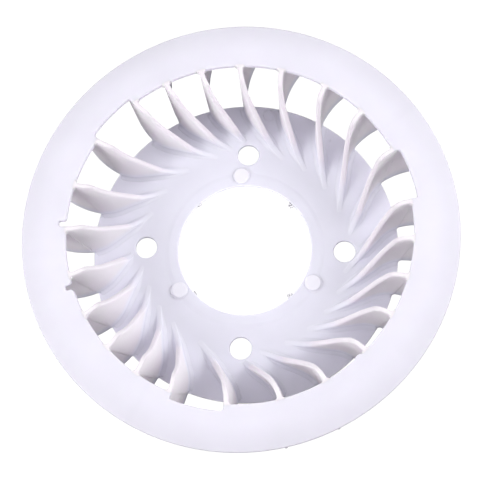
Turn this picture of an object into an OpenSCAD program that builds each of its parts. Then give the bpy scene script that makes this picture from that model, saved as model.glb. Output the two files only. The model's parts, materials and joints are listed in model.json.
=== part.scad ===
// Cooling fan wheel of a small engine's flywheel: one plastic moulding,
// drawn as its named features, each a solid of its own.
//
// Frame: the origin is the middle of the centre hole on the rear face, which
// bolts to the flywheel. +Z runs along the axis to the open front. The bolt
// holes lie on the X and Y axes. Angles are degrees anticlockwise from +X,
// seen from the front.

/* [Front ring] */
// Outside diameter of the ring
ring_outer_d = 200; // [198:1:230]
// Inside diameter of the ring
ring_inner_d = 158.6; // [157:0.2:162]
// Inside diameter where the ring is cut back, across the widest gaps
ring_relief_d = 164.8; // [163:0.2:176]
// Thickness of the ring
ring_t = 2.5; // [1.5:0.1:4]
// Rounding of the ring's outer edges
ring_edge_r = 0.7; // [0.2:0.1:1.2]
// How far the ring's front face has fallen away at its outer edge
ring_droop = 0.9; // [0:0.1:1]
// Height from the rear face to the front of the ring
wheel_h = 43.4; // [36:0.2:56]
// Vanes that have a small notch in the ring beside them
notched_vanes = [13, 14]; // [1:1:24]
// Side of the vane that each notch is on, 1 for anticlockwise
notch_sides = [-1, 1]; // [-1:2:1]
// Gap between the vane's side and each notch
notch_gaps = [0, 3.3]; // [0:0.1:4]
// Width of such a notch
notch_w = 2; // [1:0.1:3]
// Depth of such a notch
notch_depth = 3.4; // [1:0.1:5]

/* [Back plate] */
// Diameter of the plate
plate_d = 150.4; // [148:0.2:155]
// Thickness of the plate
plate_t = 2.2; // [1.6:0.1:4]
// Diameter of the centre hole
bore_d = 65.6; // [56:0.2:70]
// Number of bolt holes
bolt_count = 4; // [2:1:6]
// Diameter of the circle that the bolt holes are on
bolt_pcd = 98.1; // [96:0.1:101]
// Diameter of each bolt hole
bolt_hole_d = 10.6; // [6:0.1:12]
// Room that the vanes leave around each bolt hole
bolt_clearance = 0.8; // [0.4:0.1:1.8]

/* [Hub seat] */
// Diameter of the raised seat around the centre hole
seat_d = 76.8; // [74:0.2:84]
// Height of the seat above the plate
seat_h = 0.4; // [0.2:0.1:1]
// Number of studs that locate the starter cup
stud_count = 3; // [2:1:4]
// Diameter of each stud
stud_d = 8; // [4:0.1:9]
// Height of each stud above the plate
stud_h = 1.6; // [1.4:0.1:5]
// Width of the collar at the foot of each stud, which is level with the seat
collar_w = 0.5; // [0.4:0.1:0.6]
// Diameter of the circle that the studs are on
stud_pcd = 75.4; // [75:0.2:80]
// Angle of the first stud
stud_angle = 94.5; // [90:0.5:98]

/* [Gate stubs] */
// Angle of each stub that is left where the mould was fed
gate_angles = [46.5, 136, 224, 316]; // [20:0.5:340]
// How far each stub stands into the centre hole
gate_lengths = [1.9, 1, 0.9, 1.8]; // [0.4:0.1:2.5]
// Width of a stub
gate_w = 2.6; // [1:0.1:4]
// Thickness of a stub
gate_t = 1.4; // [0.8:0.1:1.6]

/* [Vanes] */
// Angle of the second vane, which the first sector of pitches starts from
vane_start = 10.2; // [6:0.1:12]
// Thickness of a vane
vane_t = 2.4; // [1.4:0.1:3]
// Radius at which the front edge of a vane starts to leave the plate
vane_toe_r = 51.4; // [50:0.1:53]
// Radius of the vane's outer end
vane_tip_r = 98; // [88:0.5:98.5]
// Slant of a vane's straight inner leg from the radius through its bend
inner_slant = 38; // [32:0.5:44]
// Slant of the vane from the same radius at the outer end of its tight bend
bend_slant = 4.5; // [2:0.5:8]
// Radius of the tight bend, along the middle of the vane
bend_r = 21; // [14:0.5:24]
// Distance from the axis to the outer end of the tight bend
bend_end = 77; // [75:0.2:79]
// Radius of the wide bend from there to the vane's outer end
tip_bend_r = 40; // [30:1:120]
// Steepness of the front edge
edge_slope = 69.5; // [60:0.5:76]
// Radius of the hollow where the front edge leaves the plate
toe_fillet_r = 7; // [3:0.5:9]
// Radius of the round where the front edge meets the top
shoulder_r = 5; // [2:0.5:7]

/* [Hidden] */
// Uneven pitches of the vanes, which repeat in every sector and break up the
// fan's note. They add up to one sector.
pitches = [18.5, 17.1, 15.5, 15.9, 14.3, 13.4, 12.8, 12.5];
sector_count = 3;
sector_angle = 360 / sector_count;
per_sector = len(pitches);
vane_count = sector_count * per_sector;
// Number of the vane that stands at vane_start.
first_vane = 2;

ring_z = wheel_h - ring_t;
collar_d = stud_d + 2 * collar_w;
arc_steps = 6;
bend_steps = 8;
// Length past a face that a cutting solid runs.
over = 1;
$fn = 128;

function point(r, a) = [r * cos(a), r * sin(a)];
function sum_to(list, n) = n <= 0 ? 0 : list[n - 1] + sum_to(list, n - 1);
function name_of(base, i) = str(base, "_", i);
function vane_name(i) = str("vane_", i < 10 ? "0" : "", i);

// Angle at which vane number i crosses the ring's inner edge.
function vane_angle(i) =
    let (step = (i - first_vane + vane_count) % vane_count)
    vane_start + floor(step / per_sector) * sector_angle + sum_to(pitches, step % per_sector);

module on_circle(count, pcd, start = 0) {
    for (k = [0:count - 1])
        rotate([0, 0, start + 360 * k / count])
            translate([pcd / 2, 0, 0])
                children();
}

// ---- back plate -----------------------------------------------------------

module back_plate() {
    color("#e4e1ee")
        difference() {
            cylinder(d = plate_d, h = plate_t);
            translate([0, 0, -over])
                cylinder(d = bore_d, h = plate_t + 2 * over);
            on_circle(bolt_count, bolt_pcd)
                translate([0, 0, -over])
                    cylinder(d = bolt_hole_d, h = plate_t + 2 * over);
        }
}

// ---- hub seat, studs and gate stubs ---------------------------------------

module hub_seat() {
    color("#e9e6f3")
        difference() {
            translate([0, 0, plate_t])
                cylinder(d = seat_d, h = seat_h);
            cylinder(d = bore_d, h = plate_t + seat_h + over);
            on_circle(stud_count, stud_pcd, stud_angle)
                cylinder(d = collar_d, h = plate_t + seat_h + over);
        }
}

// The studs stand on the plate, through the seat's edge.
module cup_stud(i) {
    color("#f0edf8")
        rotate([0, 0, stud_angle + 360 * (i - 1) / stud_count])
            translate([stud_pcd / 2, 0, plate_t]) {
                cylinder(d = collar_d, h = seat_h);
                cylinder(d = stud_d, h = stud_h);
            }
}

// A flat tab broken off short, with one corner torn away.
module gate_stub(i) {
    bore_r = bore_d / 2;
    tip = bore_r - gate_lengths[i - 1];
    torn = gate_w * 0.35;
    outline = [
        [bore_r + over, gate_w / 2],
        [tip + torn, gate_w / 2],
        [tip, gate_w / 2 - torn],
        [tip + torn / 3, -gate_w / 2],
        [bore_r + over, -gate_w / 2]
    ];
    color("#dcd9e6")
        intersection() {
            rotate([0, 0, gate_angles[i - 1]])
                translate([0, 0, (plate_t - gate_t) / 2])
                    linear_extrude(gate_t)
                        polygon(outline);
            cylinder(r = bore_r, h = plate_t);
        }
}

// ---- front ring -----------------------------------------------------------

// The front face is flat up to droop_start and falls away from there.
droop_start = ring_outer_d / 2 - 15;
function ring_front(r) =
    wheel_h - ring_droop * pow(max(0, (r - droop_start) / (ring_outer_d / 2 - droop_start)), 2.5);

module ring_section() {
    outer = ring_outer_d / 2;
    inner = ring_inner_d / 2;
    e = min(ring_edge_r, (ring_t - ring_droop) * 0.45);
    crest_z = ring_front(outer - e);
    corner_steps = 4;
    droop_steps = 6;
    rear = [for (k = [0:corner_steps]) [outer - e, ring_z + e] + point(e, -90 + 90 * k / corner_steps)];
    front = [for (k = [0:corner_steps]) [outer - e, crest_z - e] + point(e, 90 * k / corner_steps)];
    face = [
        for (k = [droop_steps - 1:-1:0])
            let (r = droop_start + (outer - e - droop_start) * k / droop_steps)
            [r, ring_front(r)]
    ];
    polygon(concat([[inner, ring_z]], rear, front, face, [[inner, wheel_h]]));
}

// The ring is cut back across the first gap of every sector, and the corner
// at the far end of the cut is round.
module ring_relief(k) {
    relief_r = ring_relief_d / 2;
    corner_r = 1.8;
    corner_steps = 4;
    wall_steps = 12;
    half = vane_t / ring_inner_d * (180 / PI);
    near_side = vane_start + k * sector_angle + half;
    far_side = near_side + pitches[0] - 2 * half;
    round_side = far_side - corner_r / relief_r * (180 / PI);
    wall = [for (n = [0:wall_steps]) point(relief_r, near_side + (round_side - near_side) * n / wall_steps)];
    corner = [
        for (n = [1:corner_steps])
            point(relief_r - corner_r, round_side) + point(corner_r, round_side + 90 * n / corner_steps)
    ];
    mouth_r = ring_inner_d / 2 - over;
    translate([0, 0, ring_z - over])
        linear_extrude(ring_t + 2 * over)
            polygon(concat(wall, corner, [point(mouth_r, far_side), point(mouth_r, near_side)]));
}

// A small slot in the ring's inner edge, on one side of a vane.
module ring_notch(i, side, gap) {
    middle = side * ((vane_t + notch_w) / 2 + gap);
    rotate([0, 0, vane_angle(i)])
        translate([ring_inner_d / 2 - over, middle - notch_w / 2, ring_z - over])
            cube([notch_depth + over, notch_w, ring_t + 2 * over]);
}

module front_ring() {
    color("#f4f1fb")
        difference() {
            rotate_extrude()
                ring_section();
            for (k = [0:sector_count - 1])
                ring_relief(k);
            for (k = [0:len(notched_vanes) - 1])
                ring_notch(notched_vanes[k], notch_sides[k], notch_gaps[k]);
        }
}

// ---- vanes ----------------------------------------------------------------

// Middle line of a vane, as rows of [x, y, heading], drawn so that it crosses
// the ring's inner edge near the X axis: a straight inner leg, a tight bend and
// a wide bend that carries on to the outer end. The side faces lie square to
// the heading.
bend_end_at = [bend_end, (bend_end - ring_inner_d / 2) * tan(bend_slant)];
function on_bend(radius, heading) =
    let (to_middle = [sin(bend_slant), -cos(bend_slant)], out = [-sin(heading), cos(heading)])
    let (p = bend_end_at + radius * (to_middle + out))
    [p[0], p[1], heading];
bend_start_at = on_bend(bend_r, inner_slant);
function inner_leg(length) = [
    bend_start_at[0] - length * cos(inner_slant),
    bend_start_at[1] - length * sin(inner_slant),
    inner_slant
];
// Long enough to pass the toe of the vane.
inner_leg_length = 24;
// Turn of the wide bend that takes the vane past its outer end.
tip_turn = asin(min(1, (vane_tip_r + over - bend_end) / tip_bend_r)) + 1;
middle_line = concat(
    [inner_leg(inner_leg_length)],
    [for (k = [0:bend_steps]) on_bend(bend_r, inner_slant + (bend_slant - inner_slant) * k / bend_steps)],
    [for (k = [1:bend_steps]) on_bend(tip_bend_r, bend_slant - tip_turn * k / bend_steps)]
);
function side_point(p, offset) = [p[0] - offset * sin(p[2]), p[1] + offset * cos(p[2])];

module vane_plan() {
    n = len(middle_line);
    left = [for (p = middle_line) side_point(p, vane_t / 2)];
    right = [for (k = [n - 1:-1:0]) side_point(middle_line[k], -vane_t / 2)];
    polygon(concat(left, right));
}

// Front edge in radius and height: a small step at the toe, a hollow off the
// plate, a steep straight and a round shoulder onto the flat top, level with
// the ring.
toe_step = 0.15;
toe_angle = acos(1 - toe_step / toe_fillet_r);
toe_end = [vane_toe_r, plate_t] + toe_fillet_r * [sin(edge_slope), 1 - cos(edge_slope)];
shoulder_z = wheel_h - shoulder_r * (1 - cos(edge_slope));
shoulder_x = toe_end[0] + (shoulder_z - toe_end[1]) / tan(edge_slope);
shoulder_middle = [shoulder_x + shoulder_r * sin(edge_slope), wheel_h - shoulder_r];

module vane_section() {
    plate_r = plate_d / 2;
    inner_r = ring_inner_d / 2;
    hollow_middle = [vane_toe_r, plate_t + toe_fillet_r];
    toe = [[hollow_middle[0] + toe_fillet_r * sin(toe_angle), plate_t]];
    hollow = [
        for (k = [0:arc_steps])
            hollow_middle + point(toe_fillet_r, -90 + toe_angle + (edge_slope - toe_angle) * k / arc_steps)
    ];
    shoulder = [
        for (k = [0:arc_steps])
            shoulder_middle + point(shoulder_r, 90 + edge_slope * (1 - k / arc_steps))
    ];
    under_ring = [[inner_r, wheel_h], [inner_r, ring_z], [vane_tip_r, ring_z]];
    rear = [[vane_tip_r, 0], [plate_r, 0], [plate_r, plate_t]];
    polygon(concat(toe, hollow, shoulder, under_ring, rear));
}

module vane(i) {
    color("#ece8f5")
        difference() {
            intersection() {
                rotate([0, 0, vane_angle(i)])
                    linear_extrude(wheel_h)
                        vane_plan();
                rotate_extrude()
                    vane_section();
            }
            on_circle(bolt_count, bolt_pcd)
                cylinder(d = bolt_hole_d + 2 * bolt_clearance, h = wheel_h);
        }
}

// ---- nodes ----------------------------------------------------------------

back_plate();
hub_seat();
front_ring();
for (i = [1:stud_count])
    cup_stud(i);
for (i = [1:len(gate_angles)])
    gate_stub(i);
for (i = [1:vane_count])
    vane(i);
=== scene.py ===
"""Cooling fan wheel of a small engine's flywheel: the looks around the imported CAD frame.

Every size is in millimetres until a mesh is made, which turns it into metres. The origin is
the middle of the centre hole on the rear face, and +Z runs to the open front.
"""
import json
import math

import bmesh
import bpy
import numpy as np
from mathutils import Matrix, Vector
from mathutils.geometry import tessellate_polygon


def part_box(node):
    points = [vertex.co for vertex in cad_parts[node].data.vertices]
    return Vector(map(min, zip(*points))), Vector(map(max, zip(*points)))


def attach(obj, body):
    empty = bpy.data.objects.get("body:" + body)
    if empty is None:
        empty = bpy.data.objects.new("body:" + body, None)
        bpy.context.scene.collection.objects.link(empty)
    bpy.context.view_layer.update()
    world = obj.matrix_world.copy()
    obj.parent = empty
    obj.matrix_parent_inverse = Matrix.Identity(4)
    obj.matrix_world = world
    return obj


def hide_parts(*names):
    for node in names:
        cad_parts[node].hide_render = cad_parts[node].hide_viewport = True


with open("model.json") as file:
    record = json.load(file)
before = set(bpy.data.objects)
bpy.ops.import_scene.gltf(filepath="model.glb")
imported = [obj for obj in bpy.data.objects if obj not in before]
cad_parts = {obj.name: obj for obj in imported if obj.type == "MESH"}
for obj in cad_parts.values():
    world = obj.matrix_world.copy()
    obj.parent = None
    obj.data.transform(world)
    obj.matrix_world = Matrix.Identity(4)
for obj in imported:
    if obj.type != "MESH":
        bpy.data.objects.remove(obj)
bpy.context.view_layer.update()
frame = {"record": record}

MM = 0.001


# ---- sizes from the frame ---------------------------------------------------

def top_of(node):
    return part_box(node)[1].z / MM


def bottom_of(node):
    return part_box(node)[0].z / MM


def mount_dims(name):
    mounts = frame["record"]["mounts"]
    return next(m["dims"] for m in mounts if m["name"] == name)


def polar_middle(node):
    """Radius and angle, in mm and degrees, of the middle of a node's box."""
    low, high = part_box(node)
    middle = (low + high) / 2 / MM
    return math.hypot(middle.x, middle.y), math.degrees(math.atan2(middle.y, middle.x))


PLATE_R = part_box("back_plate")[1].x / MM
PLATE_T = top_of("back_plate")
SEAT_TOP = top_of("hub_seat")
RING_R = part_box("front_ring")[1].x / MM
WHEEL_H = top_of("front_ring")
RING_Z = bottom_of("front_ring")
BOLT = mount_dims("flywheel_bolts")
STUD = mount_dims("starter_cup_studs")
STUD_TOP = top_of("cup_stud_1")

# ---- sizes repeated from the design -----------------------------------------

BORE_R = 32.8
SEAT_R = 38.4
RING_INNER_R = 79.3
RELIEF_R = 82.4
RELIEF_CORNER = 1.8
PITCHES = (18.5, 17.1, 15.5, 15.9, 14.3, 13.4, 12.8, 12.5)
SECTORS = 3
FIRST_VANE = 2
VANE_START = 10.2
VANE_TOE_R = 51.4
VANE_TIP_R = 98.0
INNER_SLANT = math.radians(38)
BEND_SLANT = math.radians(4.5)
BEND_R = 21.0
BEND_END = 77.0
TIP_BEND_R = 40.0
EDGE_SLOPE = math.radians(69.5)
TOE_FILLET_R = 7.0
SHOULDER_R = 5.0

VANE_COUNT = SECTORS * len(PITCHES)
SECTOR_ANGLE = 360 / SECTORS


def vane_angle(number):
    """Angle at which a vane crosses the ring's inner edge."""
    step = (number - FIRST_VANE) % VANE_COUNT
    sector, within = divmod(step, len(PITCHES))
    return VANE_START + sector * SECTOR_ANGLE + sum(PITCHES[:within])


# ---- small helpers ----------------------------------------------------------

def smooth(x, low, high):
    """0 below low, 1 above high, and a smooth step between."""
    t = np.clip((np.asarray(x, float) - low) / (high - low), 0, 1)
    return t * t * (3 - 2 * t)


def polar(r, degrees):
    a = np.radians(degrees)
    return np.stack([r * np.cos(a), r * np.sin(a)], -1)


def linked(name, data):
    """A new object in the scene."""
    made = bpy.data.objects.new(name, data)
    bpy.context.scene.collection.objects.link(made)
    return made


def mesh_object(name, points_mm, faces):
    """A mesh object from points in mm."""
    mesh = bpy.data.meshes.new(name)
    mesh.from_pydata((np.asarray(points_mm) * MM).tolist(), [], faces)
    mesh.validate()
    return linked(name, mesh)


def tidy_mesh(piece, merge_mm=0.004):
    """Joins doubled points, drops collapsed faces, turns faces outwards and shades them smooth."""
    bm = bmesh.new()
    bm.from_mesh(piece.data)
    bmesh.ops.remove_doubles(bm, verts=bm.verts, dist=merge_mm * MM)
    bmesh.ops.dissolve_degenerate(bm, dist=merge_mm * MM * 0.5, edges=bm.edges)
    bmesh.ops.recalc_face_normals(bm, faces=bm.faces)
    for face in bm.faces:
        face.smooth = True
    bm.to_mesh(piece.data)
    bm.free()


def weigh_normals(piece):
    """Keeps the broad flat faces flat where they meet a rounded edge."""
    weighted = piece.modifiers.new("weighted", "WEIGHTED_NORMAL")
    weighted.weight = 100
    weighted.keep_sharp = True


# ---- slabs with rounded edges -----------------------------------------------

def inset(outline, distance, sign):
    """Moves a closed outline's points by distance along their normals."""
    ahead = np.roll(outline, -1, 0) - outline
    behind = outline - np.roll(outline, 1, 0)
    ahead /= np.linalg.norm(ahead, axis=1)[:, None]
    behind /= np.linalg.norm(behind, axis=1)[:, None]
    normal = np.stack([-(ahead + behind)[:, 1], (ahead + behind)[:, 0]], -1)
    normal /= np.linalg.norm(normal, axis=1)[:, None]
    cosine = np.clip(np.sum(normal * np.stack([-ahead[:, 1], ahead[:, 0]], -1), 1), 0.5, 1)
    return outline + sign * normal * (distance / cosine)[:, None]


def circle(r, middle=(0, 0), count=256):
    return polar(r, np.arange(count) * 360 / count) + np.asarray(middle)


class Slab:
    """Collects walls and caps of one piece. Outlines run anticlockwise."""

    def __init__(self):
        self.points = []
        self.faces = []

    def loop(self, outline, z):
        start = len(self.points)
        self.points += [(x, y, z) for x, y in outline]
        return list(range(start, start + len(outline)))

    def wall(self, lower, upper):
        count = len(lower)
        for k in range(count):
            after = (k + 1) % count
            self.faces.append((lower[k], lower[after], upper[after], upper[k]))

    def edge(self, outline, z0, z1, r_bottom, r_top, hole, steps=5):
        """A wall with rounded edges. Returns the outlines where the two caps begin."""
        sign = -1 if hole else 1
        turns = np.linspace(0, math.pi / 2, steps + 1)
        rows = [(r_bottom * (1 - math.sin(t)), z0 + r_bottom * (1 - math.cos(t))) for t in turns]
        rows += [(r_top * (1 - math.cos(t)), z1 - r_top * (1 - math.sin(t))) for t in turns]
        loops = [self.loop(inset(outline, d, sign), z) for d, z in rows]
        for lower, upper in zip(loops, loops[1:]):
            self.wall(lower, upper)
        return loops[0], loops[-1]

    def cap(self, loops):
        rings = [[Vector(self.points[k]) for k in loop] for loop in loops]
        flat = [k for loop in loops for k in loop]
        self.faces += [tuple(flat[k] for k in triangle) for triangle in tessellate_polygon(rings)]


# ---- back plate with its hub seat -------------------------------------------

PLATE_EDGE = 0.35
HOLE_EDGE = 0.6
BORE_EDGE = 0.5
HUB_JOIN_R = 43.0
SEAT_SLOPE = 2.6

# Marks of the mould: place as radius and angle, and section as radius and height over the plate.
PIN_RIM_PLACE = (71.0, 82.2)
PIN_RIM = ((3.1, -0.2), (3.05, 0.0), (2.9, 0.13), (2.75, 0.0), (2.7, -0.2))
PIP_PLACE = (70.3, 54.3)
PIP = ((0.6, -0.2), (0.55, 0.0), (0.4, 0.2), (0.2, 0.28), (0.05, 0.3), (0.05, -0.2))


def hub_rows():
    """Section of the hub as radius and z: the seam on top, the seat, the bore, the underside."""
    rows = [(r, PLATE_T) for r in (HUB_JOIN_R, 41.0)]
    for t in np.linspace(0, 1, 9):
        r = SEAT_R + SEAT_SLOPE * (0.5 - t)
        rows.append((r, PLATE_T + (SEAT_TOP - PLATE_T) * float(smooth(t, 0, 1))))
    rows += [(r, SEAT_TOP) for r in (36.5, 35.0, 34.0)]
    for t in np.linspace(0, math.pi / 2, 6):
        r = BORE_R + BORE_EDGE * (1 - math.sin(t))
        rows.append((r, SEAT_TOP - BORE_EDGE * (1 - math.cos(t))))
    for t in np.linspace(0, math.pi / 2, 5):
        rows.append((BORE_R + PLATE_EDGE * (1 - math.cos(t)), PLATE_EDGE * (1 - math.sin(t))))
    rows += [(r, 0) for r in (36.0, HUB_JOIN_R)]
    return rows


def bolt_middles():
    return [polar(BOLT["pcd_mm"] / 2, 360 * k / BOLT["count"]) for k in range(BOLT["count"])]


def add_mark(slab, place, rows):
    """A small closed ring or nub that stands on the plate, from rows of radius and height."""
    loops = [slab.loop(circle(r, polar(*place), 48), PLATE_T + z) for r, z in rows]
    for lower, upper in zip(loops, loops[1:] + loops[:1]):
        slab.wall(lower, upper)


def make_plate():
    slab = Slab()
    rim = circle(PLATE_R, count=512)
    bottom, top = slab.edge(rim, 0, PLATE_T, PLATE_EDGE, PLATE_EDGE, hole=False)
    bottoms, tops = [bottom], [top]
    for middle in bolt_middles():
        hole = circle(BOLT["hole_r_mm"], middle, 96)
        bottom, top = slab.edge(hole, 0, PLATE_T, PLATE_EDGE, HOLE_EDGE, hole=True)
        bottoms.append(bottom)
        tops.append(top)
    loops = [slab.loop(circle(r, count=384), z) for r, z in hub_rows()]
    for upper, lower in zip(loops, loops[1:]):
        slab.wall(lower, upper)
    slab.cap(tops + [loops[0]])
    slab.cap(bottoms + [loops[-1]])
    add_mark(slab, PIN_RIM_PLACE, PIN_RIM)
    add_mark(slab, PIP_PLACE, PIP)
    piece = mesh_object("fan_plate", slab.points, slab.faces)
    tidy_mesh(piece)
    weigh_normals(piece)
    return piece


# ---- front ring -------------------------------------------------------------

RING_EDGE = 0.75
RING_REAR_EDGE = 0.6
RING_INNER_EDGE = 0.7
RING_FLAT_R = 85.0
RING_DROOP = 0.9
DROOP_POWER = 2.5
RELIEF_CHAMFER = 0.5
VANE_HALF = 1.1

# Outlines of the small notches and of one step in the ring's inner edge, each beside a vane:
# distance across from the vane's middle, anticlockwise, and distance out from the inner edge.
EDGE_MARKS = {
    13: ((-5.2, 0), (-4.0, 0.3), (-3.6, 1.4), (-3.6, 3.6), (-1.1, 3.6), (-1.1, 0)),
    14: ((2.7, 0), (3.9, 0.3), (4.5, 1.2), (4.5, 3.4),
         (6.6, 3.4), (6.6, 1.2), (7.3, 0.3), (8.6, 0)),
    22: ((-6.2, 0), (-5.8, -0.7), (-3.3, -0.8), (-2.8, 0)),
}


def arc(middle, r, start, end, count):
    return [tuple(np.asarray(middle) + polar(r, a)) for a in np.linspace(start, end, count)]


def cut_corners(points, times=2):
    """Rounds an open outline by cutting its corners, and keeps its two ends."""
    points = np.asarray(points, float)
    for _ in range(times):
        near = points[:-1] * 0.75 + points[1:] * 0.25
        far = points[:-1] * 0.25 + points[1:] * 0.75
        middle = np.stack([near, far], 1).reshape(-1, 2)
        points = np.concatenate([points[:1], middle[1:-1], points[-1:]])
    return points


def ring_inner_outline():
    """Inner edge of the ring, anticlockwise, with its cut-backs and notches."""
    half = math.degrees(VANE_HALF / RING_INNER_R)
    dips = []
    for k in range(SECTORS):
        start = VANE_START + k * SECTOR_ANGLE + half
        end = start + PITCHES[0] - 2 * half
        turn = math.degrees(RELIEF_CORNER / RELIEF_R)
        rows = [tuple(polar(RING_INNER_R, start)), tuple(polar(RELIEF_R - RELIEF_CHAMFER, start))]
        first = start + math.degrees(RELIEF_CHAMFER / RELIEF_R)
        rows += arc((0, 0), RELIEF_R, first, end - turn, 24)
        middle = polar(RELIEF_R - RELIEF_CORNER, end - turn)
        rows += arc(middle, RELIEF_CORNER, end - turn, end - turn + 90, 8)[1:]
        rows.append(tuple(polar(RING_INNER_R, end)))
        dips.append((start, end, rows))
    for number, mark in EDGE_MARKS.items():
        rows = []
        for across, out in cut_corners(mark):
            turn = vane_angle(number) + math.degrees(across / RING_INNER_R)
            rows.append(tuple(polar(RING_INNER_R + out, turn)))
        ends = [vane_angle(number) + math.degrees(mark[k][0] / RING_INNER_R) for k in (0, -1)]
        dips.append((ends[0], ends[1], rows))
    dips.sort()
    outline = []
    for k, (start, end, rows) in enumerate(dips):
        outline += rows
        gap_end = dips[(k + 1) % len(dips)][0]
        if gap_end < end:
            gap_end += 360
        count = max(2, int(gap_end - end))
        outline += arc((0, 0), RING_INNER_R, end, gap_end, count + 1)[1:-1]
    return np.array(outline)


def ring_front(r):
    """Height of the ring's front face, which falls away towards its outer edge."""
    share = max(r - RING_FLAT_R, 0) / (RING_R - RING_FLAT_R)
    return WHEEL_H - RING_DROOP * share ** DROOP_POWER


def make_ring():
    slab = Slab()
    quarter = np.linspace(0, math.pi / 2, 7)
    crest = ring_front(RING_R - RING_EDGE)
    rows = []
    for t in quarter:
        r = RING_R - RING_EDGE * (1 - math.sin(t))
        rows.append((r, RING_Z + RING_REAR_EDGE * (1 - math.cos(t))))
    for t in quarter:
        r = RING_R - RING_EDGE * (1 - math.cos(t))
        rows.append((r, crest - RING_EDGE * (1 - math.sin(t))))
    rows += [(r, ring_front(r)) for r in np.linspace(RING_R - RING_EDGE, RING_FLAT_R, 16)[1:]]
    loops = [slab.loop(circle(r, count=720), z) for r, z in rows]
    for lower, upper in zip(loops, loops[1:]):
        slab.wall(lower, upper)
    inner = slab.edge(ring_inner_outline(), RING_Z, WHEEL_H, RING_INNER_EDGE / 2, RING_INNER_EDGE,
                      hole=True)
    slab.cap([loops[0], inner[0]])
    slab.cap([loops[-1], inner[1]])
    piece = mesh_object("fan_ring", slab.points, slab.faces)
    tidy_mesh(piece)
    weigh_normals(piece)
    return piece


# ---- vanes ------------------------------------------------------------------

VANE_LEAN = 0.45
DRAFT_FRONT = 0.35
DRAFT_REAR = 0.30
ROOT_FILLET = 2.2
RING_FILLET = 1.4
TOP_ROUND = 0.8
REAR_ROUND = 0.3
TIP_NOSE = 0.6
TIP_TURN = 0.62

# The toe: where it starts and is full width, how fast it rises, where that ends, and how deep
# its first section lies in the plate.
TOE_START_R = 49.8
TOE_FULL_R = 56.0
TOE_RISE = 0.045
TOE_FADE = (56.0, 61.0)
TOE_SUNK = 0.08

# The root fillet's share of its width at the toe, and the radii between which it grows.
NARROW_FILLET = 0.55
FILLET_GROWS = (51, 60)

# How far a piece's visible edge and its hidden foot reach into the plate.
SUNK = 0.02
BURIED = 0.3

# Step down of the front edge behind the ring, hidden in the ring.
RING_STEP = 1.6
RING_STEP_AT = (83.2, 83.8)

# A vane that would run closer than this to a bolt hole begins past it, and tapers over a length.
HOLE_ROOM = 1.0
CUT_TAPER = 4.0

# Vanes with no fillet to the ring on their clockwise side, besides those at a gap.
NO_FILLET_BEHIND = (13,)

SIDE_LEVELS = 26
ARC_LEVELS = 6

# How far the flash stands out from the face of each vane that has some.
FLASH = {13: 0.4, 14: 0.12, 15: 0.12, 16: 0.1, 17: 0.1}


def middle_line():
    """Points with headings along a vane's middle, at the X axis, and their radii."""
    end = np.array([BEND_END, (BEND_END - RING_INNER_R) * math.tan(BEND_SLANT)])
    to_middle = np.array([math.sin(BEND_SLANT), -math.cos(BEND_SLANT)])

    def on_bend(r, heading):
        return end + r * (to_middle + np.array([-math.sin(heading), math.cos(heading)]))

    start = on_bend(BEND_R, INNER_SLANT)
    along = np.array([math.cos(INNER_SLANT), math.sin(INNER_SLANT)])
    rows = [(*(start - length * along), INNER_SLANT) for length in np.arange(30, 0, -0.1)]
    rows += [(*on_bend(BEND_R, h), h) for h in np.linspace(INNER_SLANT, BEND_SLANT, 120)]
    outer = np.linspace(BEND_SLANT, BEND_SLANT - TIP_TURN, 240)[1:]
    rows += [(*on_bend(TIP_BEND_R, h), h) for h in outer]
    rows = np.array(rows)
    reach = np.hypot(rows[:, 0], rows[:, 1])
    inner_part = np.arange(TOE_START_R, RING_INNER_R - 2, 0.5)
    join_part = np.arange(RING_INNER_R - 2, RING_INNER_R + 1, 0.2)
    outer_part = np.linspace(RING_INNER_R + 1.2, VANE_TIP_R - TIP_NOSE, 22)
    nose = VANE_TIP_R - TIP_NOSE * (1 - np.sin(np.linspace(0.3, math.pi / 2, 5)))
    wanted = np.concatenate([inner_part, join_part, outer_part, nose])
    return np.stack([np.interp(wanted, reach, rows[:, k]) for k in range(3)], 1), wanted


TOE_END = (VANE_TOE_R + TOE_FILLET_R * math.sin(EDGE_SLOPE),
           TOE_FILLET_R * (1 - math.cos(EDGE_SLOPE)))
SHOULDER_Z = WHEEL_H - SHOULDER_R * (1 - math.cos(EDGE_SLOPE))
SHOULDER_X = TOE_END[0] + (SHOULDER_Z - PLATE_T - TOE_END[1]) / math.tan(EDGE_SLOPE)
SHOULDER_MIDDLE = SHOULDER_X + SHOULDER_R * math.sin(EDGE_SLOPE)


def front_edge(r):
    """Height of the front edge: a low toe, a hollow, a steep straight, a shoulder, a flat."""
    hollow = 0.0
    if r > TOE_END[0]:
        hollow = TOE_END[1] + (r - TOE_END[0]) * math.tan(EDGE_SLOPE)
    elif r > VANE_TOE_R:
        hollow = TOE_FILLET_R - math.sqrt(TOE_FILLET_R ** 2 - (r - VANE_TOE_R) ** 2)
    low_toe = TOE_RISE * max(r - TOE_START_R, 0) ** 2 * float(1 - smooth(r, *TOE_FADE))
    if r <= SHOULDER_X:
        return PLATE_T + math.hypot(hollow, low_toe)
    if r <= SHOULDER_MIDDLE:
        return WHEEL_H - SHOULDER_R + math.sqrt(SHOULDER_R ** 2 - (SHOULDER_MIDDLE - r) ** 2)
    return WHEEL_H


def edge_steepness(r):
    d = 0.05
    return (front_edge(r + d) - front_edge(r - d)) / (2 * d)


def parting_r(z):
    """Radius of the mould's parting line on a vane's sides."""
    return PLATE_R + (z - PLATE_T) * (RING_INNER_R - PLATE_R) / (RING_Z - PLATE_T)


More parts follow.
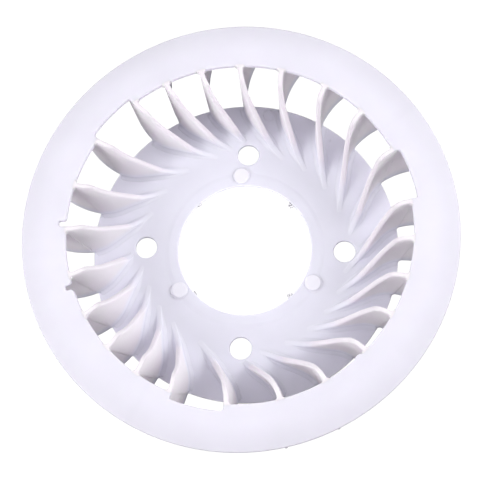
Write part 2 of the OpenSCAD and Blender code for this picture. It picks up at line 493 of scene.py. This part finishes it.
def half_width(r, z, joins_ring):
    """Half a vane's thickness: two drafts that meet on the parting line, a fillet at the ring."""
    front = VANE_HALF + DRAFT_FRONT * (WHEEL_H - z) / WHEEL_H
    rear = VANE_HALF - DRAFT_REAR * np.clip((RING_Z - z) / RING_Z, 0, 1)
    half = front + (rear - front) * smooth(r - parting_r(z), 0, 1.2)
    if joins_ring:
        run = np.clip(r - (RING_INNER_R - RING_FILLET), 0, RING_FILLET)
        flare = RING_FILLET - math.sqrt(RING_FILLET ** 2 - run ** 2)
        flare *= 1 - float(smooth(r, RING_INNER_R + 0.4, RING_INNER_R + 1.6))
        half = half + flare * smooth(z, RING_Z - 1.2, RING_Z)
    return half


def lean(z):
    """Sideways shift of the vane's middle, anticlockwise towards the rear."""
    return VANE_LEAN * (WHEEL_H - z) / WHEEL_H


def vane_section(r, heading, shrink, joins, room):
    """Offsets and heights around one section: from the bottom, up one side, over, and down."""
    past = float(smooth(r, PLATE_R - 1.0, PLATE_R - 0.15))
    top = front_edge(r) - SUNK * float(smooth(r, RING_INNER_R - 1, RING_INNER_R + 0.3))
    top -= RING_STEP * float(smooth(r, *RING_STEP_AT))
    height = max(top - PLATE_T, 0.0)
    fillet = min(ROOT_FILLET, 0.5 * height + 0.02)
    turns = np.linspace(0, math.pi / 2, ARC_LEVELS)
    slope = edge_steepness(r) * math.cos(0.5 * heading)
    stretch = math.sqrt(1 + slope * slope)
    crown_h = min(TOP_ROUND * stretch, 0.48 * height + 0.004)
    sides = []
    for side, joined in ((1, joins[0]), (-1, joins[1])):
        base = float(half_width(r, PLATE_T + fillet, joined)) * shrink
        grown = float(smooth(r, *FILLET_GROWS))
        wide = ROOT_FILLET * (NARROW_FILLET + (1 - NARROW_FILLET) * grown)
        spread = float(np.clip(room - base, 0.02, wide))
        rear_base = float(half_width(r, REAR_ROUND, joined)) * shrink
        on_plate = [(base + spread + 0.02, PLATE_T - BURIED)]
        behind = [(rear_base - REAR_ROUND * shrink, 0.0)]
        for t in turns:
            run, rise = 1 - math.sin(t), 1 - math.cos(t)
            on_plate.append((base + spread * run, PLATE_T - SUNK + fillet * rise))
            behind.append((rear_base - REAR_ROUND * shrink * run, REAR_ROUND * rise))
        bottom = np.array(on_plate) * (1 - past) + np.array(behind) * past
        z = bottom[-1, 1] + (top - crown_h - bottom[-1, 1]) * np.linspace(0, 1, SIDE_LEVELS)[1:]
        wall = np.stack([half_width(r, z, joined) * shrink, z], -1)
        last = wall[-1, 0]
        blunt = min(TOP_ROUND, 0.8 * last)
        inward = last * 0.95 + (blunt - last * 0.95) * float(smooth(height, 0.5, 7))
        crown = np.stack([last - inward * (1 - np.cos(turns[1:])),
                          top - crown_h * (1 - np.sin(turns[1:]))], -1)
        rows = np.concatenate([bottom, wall, crown])
        rows[:, 0] = side * rows[:, 0] + lean(rows[:, 1])
        sides.append(rows)
    bottom_z = (PLATE_T - BURIED) * (1 - past)
    low = np.array([[lean(bottom_z), bottom_z]])
    high = np.array([[lean(top), top]])
    return np.concatenate([low, sides[0], high, sides[1][::-1]])


def hole_rooms(places):
    """Distance from each point to the rounded edge of the nearest bolt hole."""
    away = np.min([np.linalg.norm(places - middle, axis=1) for middle in bolt_middles()], axis=0)
    return away - BOLT["hole_r_mm"] - HOLE_EDGE


def flash_bead(number, line, radii, turned, joins):
    """Points and faces of the flash on the parting line, on the anticlockwise side."""
    size = FLASH[number]
    rows = []
    for z in np.linspace(PLATE_T + 2.5, RING_Z - 0.5, 40):
        r = parting_r(z) + 0.1
        x, y, heading = (np.interp(r, radii, line[:, k]) for k in range(3))
        along = np.array([math.cos(heading), math.sin(heading)])
        normal = np.array([-along[1], along[0]])
        face = np.array([x, y]) + (float(half_width(r, z, joins[0])) + lean(z)) * normal
        for shift, out in ((-0.12, -0.05), (-0.04, size), (0.04, size), (0.12, -0.05), (0, -0.3)):
            rows.append((*((face + shift * along + out * normal) @ turned.T), z))
    faces = []
    for k in range(len(rows) // 5 - 1):
        for j in range(5):
            near, far = 5 * k + j, 5 * k + (j + 1) % 5
            faces.append((near, far, far + 5, near + 5))
    faces += [(0, 1, 2, 3, 4), tuple(len(rows) - 5 + j for j in range(5))]
    return rows, faces


def make_vane(number):
    """One vane. It begins past a bolt hole where it would run over one."""
    turn = math.radians(vane_angle(number))
    turned = np.array([[math.cos(turn), -math.sin(turn)], [math.sin(turn), math.cos(turn)]])
    line, radii = middle_line()
    within = (number - FIRST_VANE) % len(PITCHES)
    joins = (within != 0, within != 1 and number not in NO_FILLET_BEHIND)
    rooms = hole_rooms(line[:, :2] @ turned.T)
    near = np.nonzero(rooms < HOLE_ROOM)[0]
    cut = len(near) > 0
    first = near[-1] + 1 if cut else 0
    line, radii, rooms = line[first:], radii[first:], rooms[first:]
    sections = []
    for (x, y, heading), r, room in zip(line, radii, rooms):
        into_tip = max(0.0, (r - (VANE_TIP_R - TIP_NOSE)) / TIP_NOSE)
        shrink = math.sqrt(max(0.05, 1 - into_tip ** 2))
        shrink *= 0.7 + 0.3 * float(smooth(r, TOE_START_R, TOE_FULL_R))
        section = vane_section(r, heading, shrink, joins, room)
        if cut:
            rise = 0.02 + 0.98 * float(smooth(r, radii[0] - 0.3, radii[0] + CUT_TAPER))
            lifted = PLATE_T - SUNK + (section[:, 1] - PLATE_T) * rise
            section[:, 1] = np.where(section[:, 1] > PLATE_T, lifted, section[:, 1])
            section[:, 0] *= 0.75 + 0.25 * float(smooth(r, radii[0], radii[0] + CUT_TAPER))
        sink = TOE_SUNK * (1 - float(smooth(r, radii[0], radii[0] + 1.0)))
        section[:, 1] -= sink * (section[:, 1] > PLATE_T - 0.25)
        normal = np.array([-math.sin(heading), math.cos(heading)])
        xy = np.array([x, y]) + section[:, :1] * normal
        sections.append(np.concatenate([xy @ turned.T, section[:, 1:]], 1))
    n = len(sections[0])
    points = np.concatenate(sections)
    faces = []
    for k in range(len(sections) - 1):
        for j in range(n):
            a, b = k * n + j, k * n + (j + 1) % n
            faces.append((a, b, b + n, a + n))
    faces.append(tuple(range(n)))
    faces.append(tuple(range(len(points) - n, len(points)))[::-1])
    if number in FLASH:
        bead, bead_faces = flash_bead(number, line, radii, turned, joins)
        faces += [tuple(k + len(points) for k in face) for face in bead_faces]
        points = np.concatenate([points, bead])
    piece = mesh_object(f"fan_vane_{number:02d}", points, faces)
    tidy_mesh(piece)
    return piece


# ---- studs and gate stubs ---------------------------------------------------

STUD_EDGE = 0.7
STUD_FOOT = 0.7
STUD_BURIED = 0.4
GATE_EDGE = 0.1


def make_stud(number):
    r, turn = polar_middle(f"cup_stud_{number}")
    middle = polar(r, turn)
    stud_r = STUD["stud_r_mm"]
    rows = [(stud_r + STUD_FOOT + 0.3, PLATE_T - STUD_BURIED), (stud_r + STUD_FOOT, PLATE_T - SUNK)]
    for t in np.linspace(0, math.pi / 2, 5):
        foot_r = stud_r + STUD_FOOT * (1 - math.sin(t))
        rows.append((foot_r, PLATE_T + STUD_FOOT * (1 - math.cos(t))))
    for t in np.linspace(0, math.pi / 2, 7):
        edge_r = stud_r - STUD_EDGE * (1 - math.cos(t))
        rows.append((edge_r, STUD_TOP - STUD_EDGE * (1 - math.sin(t))))
    rows += [(stud_r - 1.2, STUD_TOP), (1.2, STUD_TOP)]
    slab = Slab()
    loops = [slab.loop(circle(radius, middle, 96), z) for radius, z in rows]
    for lower, upper in zip(loops, loops[1:]):
        slab.wall(lower, upper)
    slab.faces.append(tuple(loops[-1]))
    slab.faces.append(tuple(loops[0])[::-1])
    piece = mesh_object(f"fan_stud_{number}", slab.points, slab.faces)
    tidy_mesh(piece)
    weigh_normals(piece)
    return piece


# Torn outlines of the four gate stubs: distance in from the edge of the centre hole, and across.
GATE_TEARS = (
    ((-0.6, -1.5), (0.5, -1.6), (1.2, -1.2), (2.1, -1.1), (1.7, -0.4),
     (1.2, 0.0), (2.1, 0.3), (1.8, 1.1), (0.5, 1.6), (-0.6, 1.5)),
    ((-0.6, -1.3), (0.4, -1.2), (1.2, -0.6), (0.8, 0.1), (1.0, 0.9), (0.2, 1.4), (-0.6, 1.4)),
    ((-0.6, -1.4), (0.3, -1.3), (1.2, -1.1), (0.7, -0.1), (1.1, 0.8), (0.3, 1.4), (-0.6, 1.4)),
    ((-0.6, -1.6), (0.4, -1.7), (1.5, -1.5), (2.0, -0.5), (1.2, 0.0),
     (1.9, 0.6), (1.4, 1.6), (0.2, 1.4), (-0.6, 1.6)),
)


def make_gate(number):
    low, high = bottom_of(f"gate_stub_{number}"), top_of(f"gate_stub_{number}")
    r, turn = polar_middle(f"gate_stub_{number}")
    tear = np.array(GATE_TEARS[number - 1])
    outward, across = polar(1, turn), polar(1, turn + 90)
    places = (BORE_R - tear[:, :1]) * outward + tear[:, 1:] * across
    outline = cut_corners(np.concatenate([places, places[:1]]), 1)[:-1]
    if np.cross(outline[1] - outline[0], outline[2] - outline[1]) < 0:
        outline = outline[::-1]
    slab = Slab()
    bottom, top = slab.edge(outline, low, high, GATE_EDGE, GATE_EDGE, hole=False, steps=2)
    slab.cap([bottom])
    slab.cap([top])
    piece = mesh_object(f"fan_gate_{number}", slab.points, slab.faces)
    tidy_mesh(piece)
    return piece


# ---- materials --------------------------------------------------------------

# Angle, half width and depth of each weld line in the ring.
WELD_LINES = (
    (-171.0, 1.2, 0.022), (-117.0, 1.6, 0.018), (-36.0, 1.2, 0.015), (37.0, 1.5, 0.02),
)

# Heights over the plate, in mm, between which a vane's foot changes to the vane's own plastic:
# its painted shade fades out and light starts to pass through.
ROOT_LOW = 0.3
ROOT_SHADE_END = 9
ROOT_CLEAR_END = 5

# FRONT_FACING spans the normal's upward part over which the vanes' front-facing faces take painted
# shade.
FRONT_FACING = (0.05, 0.42)
CLOUD_DARK = 0.972
CLOUD_LIGHT = 1.012
SATIN = 0.06


def node(tree, kind, **inputs):
    """A new node with some of its sockets set."""
    made = tree.nodes.new(kind)
    for name, value in inputs.items():
        made.inputs[name.replace("_", " ")].default_value = value
    return made


def vector_node(tree, operation, first):
    """A vector math node with its first socket linked."""
    made = tree.nodes.new("ShaderNodeVectorMath")
    made.operation = operation
    tree.links.new(first, made.inputs[0])
    return made


def times(tree, colour, factor):
    """A colour times another."""
    made = vector_node(tree, "MULTIPLY", colour)
    tree.links.new(factor, made.inputs[1])
    return made.outputs["Vector"]


def scaled(tree, colour, share):
    """A colour times a number."""
    made = vector_node(tree, "SCALE", colour)
    tree.links.new(share, made.inputs["Scale"])
    return made.outputs["Vector"]


def components(tree, vector):
    split = tree.nodes.new("ShaderNodeSeparateXYZ")
    tree.links.new(vector, split.inputs["Vector"])
    return split.outputs


def mapped(tree, value, span, result=(0.0, 1.0), kind="LINEAR"):
    """A socket's value taken from one span to another."""
    made = node(tree, "ShaderNodeMapRange", From_Min=span[0], From_Max=span[1],
                To_Min=result[0], To_Max=result[1])
    made.interpolation_type = kind
    tree.links.new(value, made.inputs["Value"])
    return made.outputs["Result"]


def noise(tree, place, scale, detail, roughness):
    made = node(tree, "ShaderNodeTexNoise", Scale=scale, Detail=detail, Roughness=roughness)
    tree.links.new(place.outputs["Object"], made.inputs["Vector"])
    return made.outputs["Fac"]


def two_tone(tree, value, positions, dark, light):
    """A ramp from a dark to a light colour."""
    ramp = tree.nodes.new("ShaderNodeValToRGB")
    for stop, position, colour in zip(ramp.color_ramp.elements, positions, (dark, light)):
        stop.position = position
        stop.color = (*colour, 1)
    tree.links.new(value, ramp.inputs["Fac"])
    return ramp.outputs["Color"]


def bump(tree, height, strength, distance):
    made = node(tree, "ShaderNodeBump", Strength=strength, Distance=distance)
    tree.links.new(height, made.inputs["Height"])
    return made


def new_material(name):
    material = bpy.data.materials.new(name)
    material.use_nodes = True
    tree = material.node_tree
    return material, tree, tree.nodes["Principled BSDF"]


def weld_lines(tree, place, colour):
    """Faint radial lines where the flow fronts met in the ring."""
    axes = components(tree, place.outputs["Object"])
    angle = tree.nodes.new("ShaderNodeMath")
    angle.operation = "ARCTAN2"
    tree.links.new(axes["Y"], angle.inputs[0])
    tree.links.new(axes["X"], angle.inputs[1])
    around = mapped(tree, angle.outputs["Value"], (-math.pi, math.pi))
    ramp = tree.nodes.new("ShaderNodeValToRGB")
    ramp.color_ramp.elements[0].color = (1, 1, 1, 1)
    ramp.color_ramp.elements[1].color = (1, 1, 1, 1)
    for degrees, half_turn, depth in WELD_LINES:
        middle = (degrees + 180) / 360
        for shift, value in ((-half_turn, 1.0), (0, 1 - depth), (half_turn, 1.0)):
            stop = ramp.color_ramp.elements.new(middle + shift / 360)
            stop.color = (value, value, value, 1)
    tree.links.new(around, ramp.inputs["Fac"])
    return times(tree, colour, ramp.outputs["Color"])


def paint_root_shade(tree, place, colour, shader, subsurface, root):
    """Painted shade at a vane's foot: there it takes the plate's colour and lets no light through.
    """
    height = components(tree, place.outputs["Object"])["Z"]
    low = (PLATE_T + ROOT_LOW) * MM
    tinted = (low, (PLATE_T + ROOT_SHADE_END) * MM)
    clear = (low, (PLATE_T + ROOT_CLEAR_END) * MM)
    climb = mapped(tree, height, tinted, kind="SMOOTHSTEP")
    root_shade = vector_node(tree, "MULTIPLY_ADD", climb)
    root_shade.inputs[1].default_value = [1 - c for c in root]
    root_shade.inputs[2].default_value = root
    through = mapped(tree, height, clear, (0.0, subsurface))
    tree.links.new(through, shader.inputs["Subsurface Weight"])
    return times(tree, colour, root_shade.outputs["Vector"])


def paint_light_and_shade_by_radius(tree, place, colour, start, stop, share):
    """Painted light and shade: scales a colour from all of it inside start to a share outside
    stop, in mm from the axis.
    """
    flat = vector_node(tree, "MULTIPLY", place.outputs["Object"])
    flat.inputs[1].default_value = (1, 1, 0)
    reach = vector_node(tree, "LENGTH", flat.outputs["Vector"]).outputs["Value"]
    span = (start * MM, stop * MM)
    return scaled(tree, colour, mapped(tree, reach, span, (1.0, share), "SMOOTHSTEP"))


def paint_shade_by_slope(tree, place, colour, share):
    """Painted shade: scales a colour to a share where the surface faces the front, as on the
    vanes' edges.
    """
    upward = components(tree, place.outputs["Normal"])["Z"]
    return scaled(tree, colour, mapped(tree, upward, FRONT_FACING, (1.0, share), "SMOOTHSTEP"))


def plastic(name, base, roughness, subsurface, radial_light_and_shade=None, welds=False, root=None, edge=None):
    """Moulded nylon: faint cloudiness, flow mottle and a fine satin grain.

    Three keywords paint light and shade: the one for the radius scales the colour with the
    distance from the axis, root paints shade at a vane's foot as a share of base, and edge
    paints shade on the faces that look to the front.
    """
    material, tree, shader = new_material(name)
    place = tree.nodes.new("ShaderNodeTexCoord")

    cloud = noise(tree, place, scale=38.0, detail=4.0, roughness=0.55)
    dark = [c * CLOUD_DARK for c in base]
    light = [min(1, c * CLOUD_LIGHT) for c in base]
    colour = two_tone(tree, cloud, (0.32, 0.68), dark, light)
    # Painted light and shade that change with the radius.
    if radial_light_and_shade:
        colour = paint_light_and_shade_by_radius(tree, place, colour, *radial_light_and_shade)
    if welds:
        colour = weld_lines(tree, place, colour)
    # Painted shade on the faces that look to the front.
    if edge:
        colour = paint_shade_by_slope(tree, place, colour, edge)
    shader.inputs["Subsurface Weight"].default_value = subsurface
    # Painted shade at a vane's foot, where no light passes through.
    if root:
        colour = paint_root_shade(tree, place, colour, shader, subsurface, root)
    tree.links.new(colour, shader.inputs["Base Color"])

    patch = noise(tree, place, scale=140.0, detail=3.0, roughness=0.5)
    satin = mapped(tree, patch, (0.0, 1.0), (roughness - SATIN, roughness + SATIN))
    tree.links.new(satin, shader.inputs["Roughness"])

    ripple = noise(tree, place, scale=210.0, detail=2.0, roughness=0.4)
    grain = noise(tree, place, scale=2600.0, detail=2.0, roughness=0.5)
    soft = bump(tree, ripple, strength=0.35, distance=0.12 * MM)
    fine = bump(tree, grain, strength=0.25, distance=0.012 * MM)
    tree.links.new(soft.outputs["Normal"], fine.inputs["Normal"])
    tree.links.new(fine.outputs["Normal"], shader.inputs["Normal"])

    shader.inputs["IOR"].default_value = 1.5
    shader.inputs["Subsurface Radius"].default_value = (1.0, 0.9, 1.0)
    shader.inputs["Subsurface Scale"].default_value = 1.5 * MM
    return material


def torn(name):
    """The rough stress-whitened plastic of a broken gate, with painted shade in its pits."""
    material, tree, shader = new_material(name)
    place = tree.nodes.new("ShaderNodeTexCoord")
    pits_and_shade = noise(tree, place, scale=1500.0, detail=3.0, roughness=0.6)
    colour = two_tone(tree, pits_and_shade, (0.40, 0.50), (0.17, 0.165, 0.19), (0.86, 0.85, 0.88))
    tree.links.new(colour, shader.inputs["Base Color"])
    rough = bump(tree, pits_and_shade, strength=0.8, distance=0.12 * MM)
    tree.links.new(rough.outputs["Normal"], shader.inputs["Normal"])
    shader.inputs["Roughness"].default_value = 0.7
    return material


# ---- the pieces -------------------------------------------------------------

# One plastic in four lit and shaded copies: their differing base colours are painted light and
# shade, tuned under this stage's light.
# Painted light on the plate outwards; painted shade on the ring's rim and on the vanes' outer ends,
# front faces and feet.
ring_plastic = plastic("ring_nylon", (0.757, 0.739, 0.819), roughness=0.5, subsurface=0.8,
                       radial_light_and_shade=(86.0, 99.5, 0.92), welds=True)
plate_plastic = plastic("plate_nylon", (0.753, 0.745, 0.835), roughness=0.5, subsurface=0.4,
                        radial_light_and_shade=(46.0, 60.0, 1.11))
vane_plastic = plastic("vane_nylon", (0.965, 0.915, 0.97), roughness=0.48, subsurface=0.6,
                       radial_light_and_shade=(80.0, 92.0, 0.93), root=(0.955, 1.0, 1.05), edge=0.85)
stud_plastic = plastic("stud_nylon", (0.815, 0.80, 0.88), roughness=0.5, subsurface=0.0)
torn_plastic = torn("torn_nylon")


def place_piece(piece, material, slot, *nodes):
    piece.data.materials.clear()
    piece.data.materials.append(material)
    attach(piece, "root")
    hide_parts(*nodes)


place_piece(make_plate(), plate_plastic, "moulded_plastic", "back_plate", "hub_seat")
place_piece(make_ring(), ring_plastic, "moulded_plastic", "front_ring")
for number in range(1, STUD["count"] + 1):
    place_piece(make_stud(number), stud_plastic, "moulded_plastic", f"cup_stud_{number}")
for number in range(1, VANE_COUNT + 1):
    place_piece(make_vane(number), vane_plastic, "moulded_plastic", f"vane_{number:02d}")
for number in range(1, len(GATE_TEARS) + 1):
    place_piece(make_gate(number), torn_plastic, "broken_gate", f"gate_stub_{number}")


# ---- stage, light and camera ------------------------------------------------

def make_paper(name, outline, depth, grey, glow):
    """A flat sheet of matt paper just under the wheel, which may glow."""
    mesh = bpy.data.meshes.new(name)
    mesh.from_pydata([(x, y, 0) for x, y in outline], [], [tuple(range(len(outline)))])
    sheet = linked(name, mesh)
    sheet.location.z = -depth
    material, _, shader = new_material(name + "_paper")
    shader.inputs["Base Color"].default_value = (grey, grey, grey, 1)
    shader.inputs["Roughness"].default_value = 1.0
    shader.inputs["Specular IOR Level"].default_value = 0.0
    shader.inputs["Emission Color"].default_value = (1, 1, 1, 1)
    shader.inputs["Emission Strength"].default_value = glow
    mesh.materials.append(material)
    return sheet


def make_bounce(name, size, depth, grey, glow):
    """A disc the camera doesn't see: it throws light up through the windows and the holes."""
    bounce = make_paper(name, circle(size, count=24), depth, grey, glow)
    bounce.visible_camera = False


def make_floor(size=12.0):
    """The pale floor that the camera sees. It doesn't light the wheel: the bounces do."""
    square = [(-size, -size), (size, -size), (size, size), (-size, size)]
    floor = make_paper("floor", square, depth=0.0005, grey=0.3, glow=1.1)
    floor.visible_diffuse = False
    floor.visible_glossy = False
    floor.visible_transmission = False


def make_world(strength=0.61):
    """A sky that is bright above and dim below."""
    world = bpy.data.worlds.new("studio")
    bpy.context.scene.world = world
    world.use_nodes = True
    tree = world.node_tree
    background = tree.nodes["Background"]
    place = tree.nodes.new("ShaderNodeTexCoord")
    upward = components(tree, place.outputs["Generated"])["Z"]
    height = mapped(tree, upward, (-1.0, 1.0))
    sky = two_tone(tree, height, (0.45, 0.75), (0.10, 0.10, 0.11), (1, 1, 1))
    tree.links.new(sky, background.inputs["Color"])
    background.inputs["Strength"].default_value = strength


def area_light(name, where, aim, size, power):
    data = bpy.data.lights.new(name, "AREA")
    data.shape = "DISK"
    data.size = size
    data.energy = power
    light = linked(name, data)
    light.location = where
    light.rotation_euler = (Vector(aim) - Vector(where)).to_track_quat("-Z", "Y").to_euler()


# Name, place in metres and power in watts of each softbox: the strong pair stands across
# one diagonal.
SOFTBOXES = (
    ("left_low_box", (-0.42, -0.30, 0.42), 1.34),
    ("right_high_box", (0.45, 0.22, 0.42), 1.50),
    ("left_box", (-0.50, -0.06, 0.42), 0.66),
    ("right_box", (0.50, -0.06, 0.42), 0.66),
    ("left_high_box", (-0.45, 0.22, 0.42), 0.39),
    ("right_low_box", (0.42, -0.30, 0.42), 0.29),
)
SOFTBOX_AIM = (0, 0, 0.02)
SOFTBOX_SIZE = 0.34

# The camera stands back from the aim by a distance in metres; turn is where its top points.
VIEW_BACK = Vector((0.08626909, -0.24187093, 0.96646578))
VIEW_AIM = Vector((-0.5725, 3.244, 0)) * MM
VIEW_DISTANCE = 0.49583
VIEW_TURN = math.radians(92.2354)
VIEW_LENS = 73.77


def make_camera():
    """The view is 15 degrees off the wheel's axis, from the front."""
    back = VIEW_BACK.normalized()
    hint = Vector((math.cos(VIEW_TURN), math.sin(VIEW_TURN), 0))
    up = (hint - hint.dot(back) * back).normalized()
    right = up.cross(back)
    data = bpy.data.cameras.new("camera")
    data.lens = VIEW_LENS
    data.sensor_width = 36
    data.clip_start = 0.01
    camera = linked("camera", data)
    placed = Matrix((right, up, back)).transposed().to_4x4()
    placed.translation = VIEW_AIM + back * VIEW_DISTANCE
    camera.matrix_world = placed
    bpy.context.scene.camera = camera


make_floor()
make_bounce("floor_bounce", size=1.0, depth=0.0004, grey=0.24, glow=0.0)
make_bounce("middle_bounce", size=0.032, depth=0.0003, grey=0.85, glow=0.9)
make_world()
for name, where, power in SOFTBOXES:
    area_light(name, where, SOFTBOX_AIM, SOFTBOX_SIZE, power)
make_camera()
bpy.context.scene.view_settings.view_transform = "Standard"
